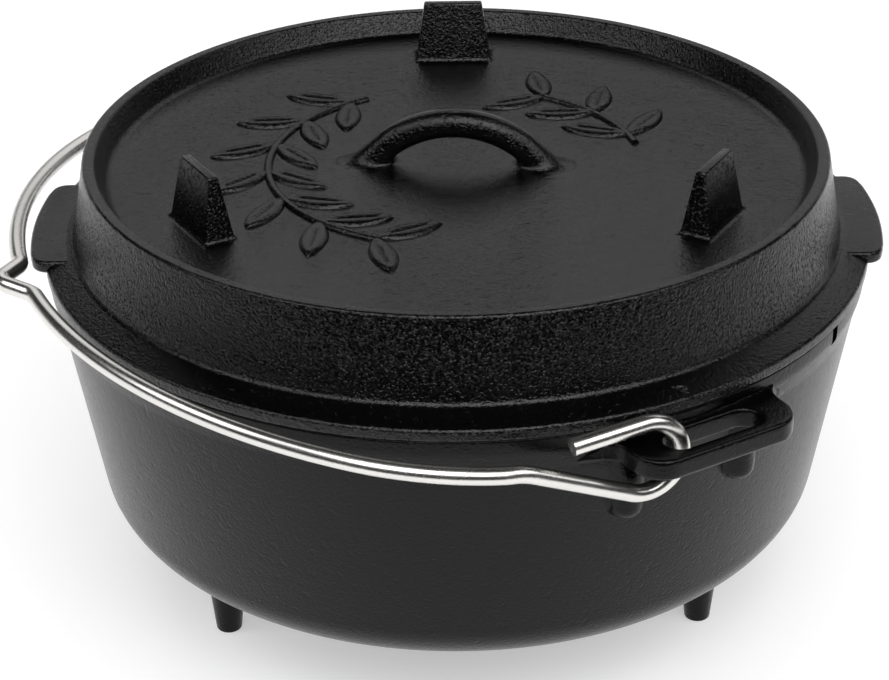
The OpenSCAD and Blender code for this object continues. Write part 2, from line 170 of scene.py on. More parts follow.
def settle(piece):
    """The piece's place goes into its mesh, and its object to the origin."""
    pick(piece)
    bpy.ops.object.transform_apply(location=True, rotation=True, scale=True)
    return piece


def smooth(piece, degrees):
    pick(piece)
    bpy.ops.object.shade_smooth_by_angle(angle=math.radians(degrees))
    return piece


def clean_shell(piece):
    edit(piece)
    bpy.ops.mesh.select_all(action="SELECT")
    bpy.ops.mesh.remove_doubles(threshold=1e-6)
    bpy.ops.mesh.normals_make_consistent(inside=False)
    leave()
    return piece


def about_z(bearing):
    return Matrix.Rotation(math.radians(bearing), 4, "Z")


def turn(piece, bearing):
    """Turns the mesh about the pot axis."""
    piece.data.transform(about_z(bearing))
    return piece


def turned_copy(piece, bearing, name):
    """A copy with its own mesh, turned about the pot axis."""
    twin = piece.copy()
    twin.data = piece.data.copy()
    twin.name = name
    twin.data.name = name
    bpy.context.collection.objects.link(twin)
    return turn(twin, bearing)


def ring_of_three(first, stem):
    """The piece and its copies at a third and two thirds of a turn."""
    return [first, turned_copy(first, 120, stem + "_b_cast"), turned_copy(first, 240, stem + "_c_cast")]


def joined(pieces, name):
    bpy.ops.object.select_all(action="DESELECT")
    for piece in pieces:
        piece.select_set(True)
    bpy.context.view_layer.objects.active = pieces[0]
    bpy.ops.object.join()
    whole = bpy.context.view_layer.objects.active
    whole.name = name
    whole.data.name = name
    return whole


def cut_away(piece, cutter):
    bite = piece.modifiers.new("bite", "BOOLEAN")
    bite.operation = "DIFFERENCE"
    bite.solver = "EXACT"
    bite.object = cutter
    pick(piece)
    bpy.ops.object.modifier_apply(modifier="bite")
    bpy.data.objects.remove(cutter)
    return piece


def block(name, middle, size):
    """A box, with middle and size in metres."""
    bpy.ops.object.select_all(action="DESELECT")
    bpy.ops.mesh.primitive_cube_add(size=1, location=middle)
    piece = bpy.context.object
    piece.name = name
    piece.scale = size
    return settle(piece)


def round_corners(corners, step):
    """Turns corners (across, up, radius) into a line with an arc at each corner that has a radius."""
    line = []
    last = len(corners) - 1
    for index, (x, z, radius) in enumerate(corners):
        here = Vector((x, z))
        if radius == 0 or index in (0, last):
            line.append(here)
            continue
        back = (Vector(corners[index - 1][:2]) - here).normalized()
        ahead = (Vector(corners[index + 1][:2]) - here).normalized()
        half = back.angle(ahead) / 2
        middle = here + (back + ahead).normalized() * (radius / math.sin(half))
        start = here + back * (radius / math.tan(half)) - middle
        sweep = math.pi - 2 * half
        side = 1 if back.x * ahead.y - back.y * ahead.x < 0 else -1
        count = max(2, math.ceil(math.degrees(sweep) / step))
        for tick in range(count + 1):
            turn_by = side * sweep * tick / count
            line.append(middle + Vector((start.x * math.cos(turn_by) - start.y * math.sin(turn_by),
                                         start.x * math.sin(turn_by) + start.y * math.cos(turn_by))))
    return line


def arc_points(center_x, center_y, radius, start, end, count):
    points = []
    for tick in range(count + 1):
        angle = math.radians(start + (end - start) * tick / count)
        points.append((center_x + radius * math.cos(angle), center_y + radius * math.sin(angle)))
    return points


def mirrored(half):
    """A closed outline from the half of it at positive y."""
    return half + [(x, -y) for x, y in reversed(half)]


def draw_line(name, points):
    """Draws a line by extruding one vertex from point to point, and stays in edit mode."""
    bpy.ops.object.select_all(action="DESELECT")
    bpy.ops.mesh.primitive_plane_add(size=0.001, location=Vector(points[0]) * MM)
    piece = bpy.context.object
    piece.name = name
    piece.data.name = name
    bpy.ops.object.mode_set(mode="EDIT")
    bpy.ops.mesh.select_mode(type="VERT")
    bpy.ops.mesh.select_all(action="SELECT")
    bpy.ops.mesh.merge(type="CENTER")
    for here, there in zip(points, points[1:]):
        step = (Vector(there) - Vector(here)) * MM
        bpy.ops.mesh.extrude_vertices_move(TRANSFORM_OT_translate={"value": step})
    return piece


def spun(name, corners, steps, step=12.0):
    """Turns a profile (radius, height, rounding) about the Z axis into a closed shell."""
    piece = draw_line(name, [(point.x, 0.0, point.y) for point in round_corners(corners, step)])
    leave()
    settle(piece)
    edit(piece)
    bpy.ops.mesh.select_all(action="SELECT")
    bpy.ops.mesh.spin(steps=steps, angle=2 * math.pi, center=(0, 0, 0), axis=(0, 0, 1))
    leave()
    return clean_shell(piece)


def plate(name, outline, bottom, thickness):
    """Fills a closed outline (x, y) and extrudes it upwards."""
    piece = draw_line(name, [(x, y, bottom) for x, y in outline])
    bpy.ops.mesh.select_all(action="SELECT")
    bpy.ops.mesh.edge_face_add()
    bpy.ops.mesh.extrude_region_move(TRANSFORM_OT_translate={"value": (0, 0, thickness * MM)})
    bpy.ops.mesh.select_all(action="SELECT")
    bpy.ops.mesh.normals_make_consistent(inside=False)
    leave()
    return settle(piece)


# Pot body: wall, bottom and rim band in one turned shell, with a cable notch under the rim

def make_pot_body():
    pot = spun("pot_body", [
        (0, BASE_Z, 0),
        (BASE_RADIUS, BASE_Z, 21),
        (wall_radius(BAND_LOW), BAND_LOW, 14),
        (RIM_RADIUS, BAND_HIGH, 10),
        (RIM_RADIUS, RIM_Z, 1.1),
        (inner_radius(RIM_Z), RIM_Z, 1.2),
        (inner_radius(FLOOR_Z), FLOOR_Z, 16),
        (0, FLOOR_Z, 0)], 240, 7.5)
    notch = block("cable_notch", Vector((RIM_RADIUS, 0, NOTCH_Z)) * MM, Vector(NOTCH_SIZE) * MM)
    cut_away(pot, turn(notch, NOTCH_BEARING))
    return smooth(pot, 35)


# Feet: turned cones with a flare at the pot and a rounded end

def make_foot():
    top = BASE_Z + 2    # inside the pot's bottom
    foot = spun("pot_foot_a_cast", [
        (0, 0, 0), (FOOT_TIP, 0, 1.1), (FOOT_NECK, BASE_Z, 4.0), (FOOT_FLARE, BASE_Z, 0),
        (FOOT_FLARE, top, 0), (0, top, 0)], 40)
    foot.data.transform(Matrix.Translation((FOOT_DISTANCE * MM, 0, 0)))
    return smooth(turn(foot, FOOT_BEARING), 35)


# Ears: slotted plate, two lugs and a strip of wall, grown together as in one casting

def ear_outline():
    half = [(137.0, 47.5), (140.4, 44.2)]
    half += arc_points(152.39, 39.8, 9.0, 192, 270, 10)
    half += arc_points(156.4, 20.0, 10.8, 90, 0, 14)
    return mirrored(half)


def slot_outline():
    return mirrored(arc_points(156.8, 13.2, 5.4, 180, 0, 14))


def pot_core():
    """The room inside the pot, drawn into the wall, to trim what would reach through it."""
    return spun("pot_core", [
        (0, CORE_LOW, 0), (wall_radius(CORE_LOW) - CORE_DEPTH, CORE_LOW, 0),
        (wall_radius(CORE_TOP) - CORE_DEPTH, CORE_TOP, 0), (0, CORE_TOP, 0)], 180)


def make_lug(side):
    lug = spun("lug", [(0, LUG_BOTTOM, 0), (6.0, LUG_BOTTOM, 4.5), (7.0, LUG_TOP, 0), (0, LUG_TOP, 0)], 32)
    lug.data.transform(Matrix.Translation((LUG_DISTANCE * MM, 0, 0)))
    return cut_away(turn(lug, side * LUG_BEARING), pot_core())


def make_wall_strip():
    """The outer skin of the wall behind an ear, between two bearings."""
    strip = spun("wall_strip", [
        (wall_radius(STRIP_LOW) - STRIP_THICK, STRIP_LOW, 0), (wall_radius(STRIP_LOW), STRIP_LOW, 0),
        (wall_radius(BAND_LOW), BAND_LOW, 0), (RIM_RADIUS, BAND_HIGH, 0), (RIM_RADIUS, STRIP_TOP, 0),
        (RIM_RADIUS - STRIP_THICK, STRIP_TOP, 0), (wall_radius(STRIP_LOW) - STRIP_THICK, STRIP_LOW, 0)], 240)
    edit(strip)
    for side in (-1, 1):
        bpy.ops.mesh.select_all(action="SELECT")
        angle = math.radians(side * STRIP_BEARING)
        outwards = (-math.sin(angle) * side, math.cos(angle) * side, 0)
        bpy.ops.mesh.bisect(plane_co=(0, 0, 0), plane_no=outwards,
                            use_fill=True, clear_outer=True, clear_inner=False)
    bpy.ops.mesh.select_all(action="SELECT")
    bpy.ops.mesh.normals_make_consistent(inside=False)
    leave()
    return strip


def sink_into_wall(casting):
    """Sinks the casting where it only repeats the pot wall, so that its fillets fade out on the wall."""
    reach = 0.45        # height over the wall where sinking starts
    depth = 1.2
    lean = math.cos(WALL_LEAN)
    for vertex in casting.data.vertices:
        x, y, z = vertex.co / MM
        across = math.hypot(x, y)
        above = (across - outside_radius(z)) * lean
        if above < reach:
            sunk = above - depth * (1 - max(above, 0.0) / reach) ** 2
            scale = (across + (sunk - above) / lean) / across
            vertex.co.x *= scale
            vertex.co.y *= scale
    casting.data.update()


def make_ear():
    ear = plate("pot_ear_front_cast", ear_outline(), EAR_BOTTOM, EAR_TOP - EAR_BOTTOM)
    cut_away(ear, plate("slot_bite", slot_outline(), EAR_BOTTOM - 5, EAR_TOP - EAR_BOTTOM + 10))
    cut_away(ear, pot_core())
    casting = joined([ear, make_lug(-1), make_lug(1), make_wall_strip()], "pot_ear_front_cast")
    grow = casting.modifiers.new("grow", "REMESH")
    grow.mode = "VOXEL"
    grow.voxel_size = EAR_VOXEL
    soften = casting.modifiers.new("soften", "SMOOTH")
    soften.factor = 0.5
    soften.iterations = 7
    bpy.ops.object.modifier_apply(modifier="grow")
    bpy.ops.object.modifier_apply(modifier="soften")
    sink_into_wall(casting)
    return smooth(casting, 60)


# Lid body: tray, rim, side wall, flange and locating ring in one turned shell, with a small mark

def make_mark():
    """Cutter for a triangle whose floor sinks from its inner side towards the edge of the flange."""
    mark = plate("mark_bite", [(149.9, 6.2), (144.6, 7.0), (143.4, 1.1)], SEAT_Z + 2.2, 6)
    edit(mark)
    for reach, rise in ((147, 3.55), (144, 0.4)):
        choose(mark, "VERT", lambda vertex: vertex.co.z < (SEAT_Z + 7) * MM and vertex.co.x < reach * MM)
        bpy.ops.transform.translate(value=(0, 0, rise * MM))
    leave()
    return turn(mark, MARK_BEARING)


def make_lid_body():
    lid = spun("lid_body", [
        (0, TRAY_Z, 0),
        (126.0, TRAY_Z, 3.2),
        (130.1, LID_TOP, 1.3),
        (134.3, LID_TOP, 1.4),
        (139.5, SEAT_Z + 7.6, 2.8),
        (FLANGE_RADIUS, SEAT_Z + 4, 1.5),
        (FLANGE_RADIUS, SEAT_Z, 0.8),
        (141.7, SEAT_Z, 0.5),
        (141.2, SEAT_Z - 6, 1.0),
        (135.85, SEAT_Z - 6, 1.0),
        (131.75, TRAY_Z - 5.5, 5.0),
        (0, TRAY_Z - 5.5, 0)], 240, 9)
    cut_away(lid, make_mark())
    return smooth(lid, 35)


# Lid legs: tapered blocks with rounded edges and a flared root

def make_leg():
    flare = LEG_FLARE
    share = flare / LEG_HEIGHT
    thick, wide = (root - (root - end) * share for root, end in zip(LEG_ROOT, LEG_END))
    middle = Vector((LEG_DISTANCE, 0, TRAY_Z + flare)) * MM
    height = (LEG_HEIGHT - flare) * MM
    leg = block("lid_leg_a_cast", middle + Vector((0, 0, height / 2)), (thick * MM, wide * MM, height))
    edit(leg)
    choose(leg, "FACE", lambda face: face.normal.z > LEVEL)
    bpy.ops.transform.resize(value=(LEG_END[0] / thick, LEG_END[1] / wide, 1), center_override=middle)
    choose(leg, "EDGE", lambda edge: abs(edge.verts[0].co.z - edge.verts[1].co.z) > 0.005)
    bpy.ops.mesh.bevel(offset=LEG_BEVEL, segments=3, affect="EDGES")
    choose(leg, "FACE", lambda face: face.normal.z > LEVEL)
    bpy.ops.mesh.region_to_loop()
    bpy.ops.mesh.bevel(offset=LEG_BEVEL, segments=3, affect="EDGES")
    # The root: rings that widen along a quarter circle, and a last one inside the tray
    choose(leg, "FACE", lambda face: face.normal.z < -LEVEL)
    rings = []
    for tick in range(1, 7):
        angle = math.radians(15 * tick)
        rings.append((flare * (1 - math.cos(angle)), flare * (1 - math.sin(angle))))
    rings.append((rings[-1][0], -SUNK))
    width, length, level = thick, wide, flare
    for out, up in rings:
        bpy.ops.mesh.extrude_region_move(TRANSFORM_OT_translate={"value": (0, 0, (up - level) * MM)})
        drop = flare - max(up, 0)
        next_width = thick + 2 * out + drop * 0.32      # 0.32 and 0.27: the taper of the leg
        next_length = wide + 2 * out + drop * 0.27
        bpy.ops.transform.resize(value=(next_width / width, next_length / length, 1),
                                 center_override=(LEG_DISTANCE * MM, 0, 0))
        width, length, level = next_width, next_length, up
    leave()
    clean_shell(leg)
    return smooth(turn(leg, LEG_BEARING), 35)


# Lid loop: a round bar bent to an arch, with flared feet

def make_loop():
    rise = 15.8         # of the bar's middle line over the tray
    half_span = 31.5
    bar = 5.25          # radius
    flare = 3.2
    stub = 7.5          # height where the arch ends and the straight foot starts
    arch = (half_span ** 2 + rise ** 2) / (2 * rise)
    center_z = TRAY_Z + rise - arch
    low_turn = math.asin((TRAY_Z + stub - center_z) / arch)
    low_x = arch * math.cos(low_turn)
    bpy.ops.object.select_all(action="DESELECT")
    bpy.ops.mesh.primitive_circle_add(vertices=32, radius=bar * MM, fill_type="NOTHING",
                                      location=(low_x * MM, 0, (TRAY_Z + stub) * MM),
                                      rotation=(0, -low_turn, 0))
    loop = bpy.context.object
    loop.name = "lid_loop_cast"
    settle(loop)
    edit(loop)
    bpy.ops.mesh.select_all(action="SELECT")
    bpy.ops.mesh.spin(steps=40, angle=math.pi - 2 * low_turn, center=(0, 0, center_z * MM), axis=(0, 1, 0))
    leave()
    clean_shell(loop)
    edit(loop)
    for side in (1, -1):
        start = Vector((side * low_x, 0, TRAY_Z + stub)) * MM
        lean = Vector((side * (half_span + 0.4 - low_x), 0, -stub)).normalized()
        choose(loop, "EDGE", lambda edge: len(edge.link_faces) == 1 and side * edge.verts[0].co.x > 0)
        size = bar
        for up in (flare, 2.0, 1.2, 0.6, 0.2, 0.0, -SUNK):
            wider = bar + flare - math.sqrt(flare ** 2 - (flare - max(up, 0)) ** 2)
            level = (TRAY_Z + up) * MM
            middle = start + lean * ((level - start.z) / lean.z)
            bpy.ops.mesh.extrude_edges_move()
            mesh = bmesh.from_edit_mesh(loop.data)
            for vertex in mesh.verts:
                if vertex.select:
                    slid = vertex.co + lean * ((level - vertex.co.z) / lean.z)
                    vertex.co = middle + (slid - middle) * (wider / size)
            size = wider
            bmesh.update_edit_mesh(loop.data)
        bpy.ops.mesh.edge_face_add()
    leave()
    clean_shell(loop)
    return smooth(turn(loop, LOOP_BEARING), 40)


# Lifting tabs at the flange

def make_tab():
    outer = math.degrees(math.asin(TAB_HALF_CHORD / TAB_RADIUS))
    corner = round_corners([
        (TAB_INNER, -TAB_HALF_WIDTH, 0), (150.8, -TAB_HALF_WIDTH, 6.0),
        (TAB_RADIUS * math.cos(math.radians(outer)), -TAB_HALF_CHORD, 0)], 12)
    points = [tuple(p) for p in corner] + arc_points(0, 0, TAB_RADIUS, -outer, outer, 20)[1:-1]
    points += [(p.x, -p.y) for p in reversed(corner)]
    tab = plate("lid_tab_right_cast", points, SEAT_Z + 2.1, 4.6)
    inside = (TAB_INNER + 1) * MM

    def round_over(edge):
        one, other = (vertex.co for vertex in edge.verts)
        return abs(one.z - other.z) < 1e-6 and not (one.x < inside and other.x < inside)

    edit(tab)
    choose(tab, "EDGE", round_over)
    bpy.ops.mesh.bevel(offset=TAB_BEVEL, segments=4, affect="EDGES")
    leave()
    return smooth(turn(tab, TAB_BEARING), 35)


# Leaf relief: crowned leaves with veins, in pairs along a bent stem

def make_leaf():
    length, width, height = 27.0, 10.5, 1.6
    vein_depth, vein_width, vein_end = 0.75, 0.55, 0.8
    rib_height, rib_pitch, rib_slant = 0.16, 3.2, 1.1
    rim_drop = 0.35     # of the leaf's rim below the tray
    circle = (length ** 2 + width ** 2) / (4 * width)
    bpy.ops.object.select_all(action="DESELECT")
    bpy.ops.mesh.primitive_grid_add(x_subdivisions=26, y_subdivisions=14, size=2, location=(0, 0, 0))
    leaf = bpy.context.object
    leaf.name = "leaf"
    mesh = edit(leaf)
    for vertex in mesh.verts:
        run = math.sin(vertex.co.x * math.pi / 2)
        across = math.sin(vertex.co.y * math.pi / 2)
        along = run * length / 2
        half = math.sqrt(max(circle ** 2 - along ** 2, 0)) - (circle - width / 2)
        side = abs(across)
        crown = (1 - side ** 5) * (1 - abs(run) ** 9)
        fade = 1 - min(1, abs(run) / vein_end) ** 4
        vein = vein_depth * math.exp(-(across * half / vein_width) ** 2) * fade
        wave = math.cos((along - rib_slant * abs(across * half)) * 2 * math.pi / rib_pitch)
        rib = rib_height * wave * side * (1 - side)
        up = (height - vein + rib) * crown - rim_drop * (1 - crown)
        vertex.co = Vector(((run + 1) * length / 2, across * max(half, 0.05), TRAY_Z + up)) * MM
    bmesh.update_edit_mesh(leaf.data)
    bpy.ops.mesh.select_mode(type="EDGE")
    bpy.ops.mesh.select_all(action="DESELECT")
    bpy.ops.mesh.select_non_manifold()
    bpy.ops.mesh.extrude_edges_move(TRANSFORM_OT_translate={"value": (0, 0, -0.6 * MM)})
    bpy.ops.mesh.edge_face_add()
    leave()
    return clean_shell(leaf)


def make_stem(start, sweep):
    half_width, height, sunk = 1.7, 1.8, 0.3
    line = []
    for tick in range(9):
        angle = math.pi * tick / 8
        line.append((STEM_RADIUS + half_width * math.cos(angle), 0.0,
                     TRAY_Z - sunk + height * math.sin(angle)))
    stem = draw_line("stem", line)
    bpy.ops.mesh.select_all(action="SELECT")
    bpy.ops.mesh.edge_face_add()
    leave()
    settle(stem)
    edit(stem)
    bpy.ops.mesh.select_all(action="SELECT")
    bpy.ops.mesh.spin(steps=int(sweep / 2), angle=math.radians(sweep), center=(0, 0, 0), axis=(0, 0, -1))
    leave()
    clean_shell(stem)
    return turn(stem, start)


def make_relief(name, start, sweep, bearings):
    parts = [make_stem(start, sweep)]
    leaf = make_leaf()
    for bearing in bearings:
        for lean, shift in ((38, -0.5), (142, 0.5)):
            twin = turned_copy(leaf, lean, "leaf_twin")
            twin.data.transform(about_z(bearing) @ Matrix.Translation(((STEM_RADIUS + shift) * MM, 0, 0)))
            parts.append(twin)
    bpy.data.objects.remove(leaf)
    return smooth(joined(parts, name), 60)


# Bail: one wire, bent at the hooks, arms, shoulders and the hanging kink

def flat_arc(center, radius, start, end, step):
    """Points on an arc from start to end, in radians, at most step degrees apart."""
    count = max(2, math.ceil(abs(math.degrees(end - start)) / step))
    angles = [start + (end - start) * tick / count for tick in range(count + 1)]
    return [center + radius * Vector((math.cos(angle), math.sin(angle))) for angle in angles]


def bail_half(side, half_span):
    """Half of the wire from the kink to the free end of a hook; side is 1 in front and -1 behind."""
    hook_radius, free_end, free_lean, arm_lean = 12.935, 25.0, math.radians(12), math.radians(17.5)
    reach, shoulder, bend, arm_bend = 160.1, 98.0, 25.0, math.radians(10)
    kink_height, slope, tip, foot = 8.2, math.radians(42), 6.5, 8.0
    skew = side * math.radians(SKEW)
    arm_end = hook_radius / math.sin(arm_lean) + bend * math.tan(arm_lean / 2)
    shoulder_center = Vector((half_span - bend + (bend - shoulder) * math.cos(arm_bend),
                              arm_end + (bend - shoulder) * math.sin(arm_bend)))
    across = shoulder_center.x * math.cos(skew) + shoulder_center.y * math.sin(skew)
    along = reach - shoulder - shoulder_center.y * math.cos(skew) + shoulder_center.x * math.sin(skew)
    shoulder_turn = math.pi / 2 - 2 * math.atan(along / across)
    bow = shoulder + across / math.cos(shoulder_turn)
    bow_center = reach - bow
    top = reach + kink_height
    start = Vector((tip * math.sin(slope), top - tip * (1 - math.cos(slope))))
    offset = start + Vector((foot * math.sin(slope), foot * math.cos(slope) - bow_center))
    half_run = offset.x * math.cos(slope) - offset.y * math.sin(slope)
    run = -half_run - math.sqrt(half_run ** 2 - (offset.length_squared - (bow + foot) ** 2))
    foot_center = Vector((offset.x + run * math.cos(slope), offset.y + bow_center - run * math.sin(slope)))
    foot_turn = math.atan2(foot_center.x, foot_center.y - bow_center)
    # in the plane of the bail: x across, y away from the swing axis
    flat = flat_arc(Vector((0, top - tip)), tip, math.pi / 2, math.pi / 2 - slope, 6)
    flat += flat_arc(foot_center, foot, math.pi * 1.5 - slope, math.pi * 1.5 - foot_turn, 6)
    flat += flat_arc(Vector((0, bow_center)), bow, math.pi / 2 - foot_turn, shoulder_turn, 1.2)[1:]
    flat = [Vector((p.x * math.cos(skew) - p.y * math.sin(skew),
                    p.x * math.sin(skew) + p.y * math.cos(skew))) for p in flat]
    flat += flat_arc(shoulder_center, shoulder, shoulder_turn + skew, arm_bend, 1.5)[1:]
    flat += flat_arc(Vector((half_span - bend, arm_end)), bend, arm_bend, 0, 2)[1:]
    half = [Vector((p.x, -p.y, 0)) for p in flat]
    # in the plane of the hook: u away from the swing axis, w above the plane of the bail
    hook = flat_arc(Vector((arm_end, -bend)), bend, math.pi / 2, math.pi / 2 + arm_lean, 3)[1:]
    hook += flat_arc(Vector((0, 0)), hook_radius, -math.pi / 2 + arm_lean, -math.pi * 1.5 - free_lean, 5)
    end = hook[-1] + free_end * Vector((math.cos(free_lean), -math.sin(free_lean)))
    hook.append(hook[-1] + (end - hook[-1]) * 0.5)
    hook.append(end)
    return half + [Vector((half_span, -u, w)) for u, w in hook]


def make_bail():
    distance = math.hypot(PIVOT_X, PIVOT_Y)
    tilt = math.atan(PIVOT_LIFT / (2 * distance))
    half_span = distance / math.cos(tilt)
    behind = [Vector((-p.x, p.y, -p.z)) for p in bail_half(-1, half_span)[1:]]
    path = list(reversed(behind)) + bail_half(1, half_span)
    place = (Matrix.Rotation(-math.atan2(PIVOT_Y, PIVOT_X), 4, "Z") @ Matrix.Translation((0, 0, PIVOT_Z))
             @ Matrix.Rotation(tilt, 4, "Y") @ Matrix.Rotation(math.radians(-FOLD), 4, "X"))
    points = [place @ p * MM for p in path]
    line = bpy.data.curves.new("bail_wire", "CURVE")
    line.dimensions = "3D"
    line.bevel_depth = WIRE_RADIUS * MM
    line.bevel_resolution = 6
    line.use_fill_caps = True
    spline = line.splines.new("POLY")
    spline.points.add(len(points) - 1)
    for spot, point in zip(spline.points, points):
        spot.co = (*point, 1)
    bail = bpy.data.objects.new("bail_wire", line)
    bpy.context.collection.objects.link(bail)
    pick(bail)
    bpy.ops.object.convert(target="MESH")
    bail = bpy.context.object
    bail.name = "bail_wire"
    clean_shell(bail)
    edit(bail)
    # The two end caps are the only faces with many corners
    choose(bail, "FACE", lambda face: len(face.verts) > 6)
    bpy.ops.mesh.region_to_loop()
    bpy.ops.mesh.bevel(offset=0.5 * MM, segments=2, affect="EDGES")
    leave()
    return smooth(bail, 50)


# Tools for materials: each adds a node to a node tree, and takes numbers or sockets

def feed(tree, source, socket):
    if isinstance(source, bpy.types.NodeSocket):
        tree.links.new(source, socket)
    else:
        socket.default_value = source


def maths(tree, operation, *terms):
    node = tree.nodes.new("ShaderNodeMath")
    node.operation = operation
    for term, socket in zip(terms, node.inputs):
        feed(tree, term, socket)
    return node.outputs["Value"]


def spread(tree, value, low, high, to_low=0.0, to_high=1.0):
    """Brings low to high, clamped, to to_low to to_high."""
    node = tree.nodes.new("ShaderNodeMapRange")
    for name, source in (("Value", value), ("From Min", low), ("From Max", high),
                         ("To Min", to_low), ("To Max", to_high)):
        feed(tree, source, node.inputs[name])
    return node.outputs["Result"]


def noise(tree, place, scale, detail, roughness=0.5):
    node = tree.nodes.new("ShaderNodeTexNoise")
    for name, source in (("Vector", place.outputs["Object"]), ("Scale", scale),
                         ("Detail", detail), ("Roughness", roughness)):
        feed(tree, source, node.inputs[name])
    return node.outputs["Fac"]


def colour_mix(tree, factor, dark, light):
    node = tree.nodes.new("ShaderNodeMix")
    node.data_type = "RGBA"
    for name, source in (("Factor", factor), ("A", (*dark, 1)), ("B", (*light, 1))):
        feed(tree, source, node.inputs[name])
    return node.outputs["Result"]


def seen_by(tree, *kinds):
    """1 for rays of the given kinds, else 0."""
    path = tree.nodes.new("ShaderNodeLightPath")
    total = path.outputs[kinds[0]]
    for kind in kinds[1:]:
        total = maths(tree, "MAXIMUM", total, path.outputs[kind])
    return total


def new_material(name):
    material = bpy.data.materials.new(name)
    material.use_nodes = True
    return material, material.node_tree, material.node_tree.nodes["Principled BSDF"]


# Materials

def make_cast_grain():
    """Sand-cast skin: two heights (fine grain with pits, grit on upright faces) and two masks."""
    group = bpy.data.node_groups.new("cast_grain", "ShaderNodeTree")
    for name, way in (("Grain", "INPUT"), ("Pits", "INPUT"), ("Height", "OUTPUT"),
                      ("Patches", "OUTPUT"), ("Specks", "OUTPUT"), ("Grit", "OUTPUT")):
        group.interface.new_socket(name=name, socket_type="NodeSocketFloat", in_out=way)
    inside = group.nodes.new("NodeGroupInput")
    outside = group.nodes.new("NodeGroupOutput")
    place = group.nodes.new("ShaderNodeTexCoord")
    grain = noise(group, place, inside.outputs["Grain"], 3.0, 0.6)
    pits = spread(group, noise(group, place, 330.0, 2.0), 0.28, 0.42)
    height = maths(group, "ADD", grain, maths(group, "MULTIPLY", pits, inside.outputs["Pits"]))
    patches = noise(group, place, 22.0, 4.0)
    specks = spread(group, grain, 0.45, 0.75)
    split = group.nodes.new("ShaderNodeSeparateXYZ")
    group.links.new(place.outputs["Normal"], split.inputs["Vector"])
    upright = spread(group, maths(group, "ABSOLUTE", split.outputs["Z"]), 0.75, 0.35)
    peaks = spread(group, noise(group, place, 1000.0, 1.0), 0.54, 0.8)
    grit = maths(group, "MULTIPLY", peaks, upright)
    for name, source in (("Height", height), ("Patches", patches), ("Specks", specks), ("Grit", grit)):
        group.links.new(source, outside.inputs[name])
    return group


def make_iron(name, skin, dark, light, rough_low, rough_high, grain, pits, depth, wall_grain, ior):
    """Black cast iron; dark and light are greys, depth is the bump height in metres."""
    iron, tree, shader = new_material(name)
    shader.inputs["IOR"].default_value = ior
    cast = tree.nodes.new("ShaderNodeGroup")
    cast.node_tree = skin
    cast.inputs["Grain"].default_value = grain
    cast.inputs["Pits"].default_value = pits
    patches = spread(tree, cast.outputs["Patches"], 0.3, 0.7)
    tree.links.new(colour_mix(tree, patches, (dark,) * 3, (light,) * 3), shader.inputs["Base Color"])
    rough = spread(tree, cast.outputs["Specks"], 0.0, 1.0, rough_high, rough_low)
    tree.links.new(rough, shader.inputs["Roughness"])
    bump = tree.nodes.new("ShaderNodeBump")
    bump.inputs["Strength"].default_value = 1.0
    bump.inputs["Distance"].default_value = depth
    height = maths(tree, "MULTIPLY_ADD", cast.outputs["Grit"], wall_grain, cast.outputs["Height"])
    tree.links.new(height, bump.inputs["Height"])
    tree.links.new(bump.outputs["Normal"], shader.inputs["Normal"])
    return iron


def make_steel():
    steel, tree, shader = new_material("bail_polished_wire")
    shader.inputs["Metallic"].default_value = 1.0
    slow = noise(tree, tree.nodes.new("ShaderNodeTexCoord"), 60.0, 4.0)
    tree.links.new(colour_mix(tree, slow, (0.70, 0.685, 0.66), (0.80, 0.785, 0.76)),
                   shader.inputs["Base Color"])
    tree.links.new(spread(tree, slow, 0.0, 1.0, 0.22, 0.32), shader.inputs["Roughness"])
    return steel


def dress(piece, material, body, slot, *nodes):
    piece.data.materials.clear()
    piece.data.materials.append(material)
    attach(piece, body)
    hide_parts(*nodes)


# Stage: floor, lamps, world and camera

def image_point(x, y, z):
    """A place seen from the camera side: x to the right, y away, z up, in metres."""
    return about_z(CAMERA_BEARING) @ Vector((x, y, z))


def make_floor():
    bpy.ops.object.select_all(action="DESELECT")
    bpy.ops.mesh.primitive_plane_add(size=1, location=(0, 0, 0))
    floor = bpy.context.object
    floor.name = "floor"
    floor.data.transform(about_z(CAMERA_BEARING) @ Matrix.Translation((0, FLOOR_SHIFT, 0))
                         @ Matrix.Diagonal((*FLOOR_SIZE, 1, 1)))
    paint, tree, shader = new_material("white_floor")
    shader.inputs["Base Color"].default_value = (FLOOR_GREY, FLOOR_GREY, FLOOR_GREY, 1)
    shader.inputs["Roughness"].default_value = 0.9
    shader.inputs["Specular IOR Level"].default_value = 0.1
    shader.inputs["Emission Color"].default_value = (1, 1, 1, 1)
    seen = seen_by(tree, "Is Camera Ray", "Is Glossy Ray", "Is Transmission Ray")
    tree.links.new(maths(tree, "MULTIPLY", seen, FLOOR_LIFT), shader.inputs["Emission Strength"])
    floor.data.materials.append(paint)


def make_lamp(name, place, aim_height, width, height, watts):
    data = bpy.data.lights.new(name, "AREA")
    data.shape = "RECTANGLE"
    data.size = width
    data.size_y = height
    data.energy = watts
    lamp = bpy.data.objects.new(name, data)
    bpy.context.collection.objects.link(lamp)
    lamp.location = image_point(*place)
    ahead = Vector((0, 0, aim_height)) - image_point(*place)
    lamp.rotation_euler = ahead.to_track_quat("-Z", "Y").to_euler()
    lamp.visible_camera = False


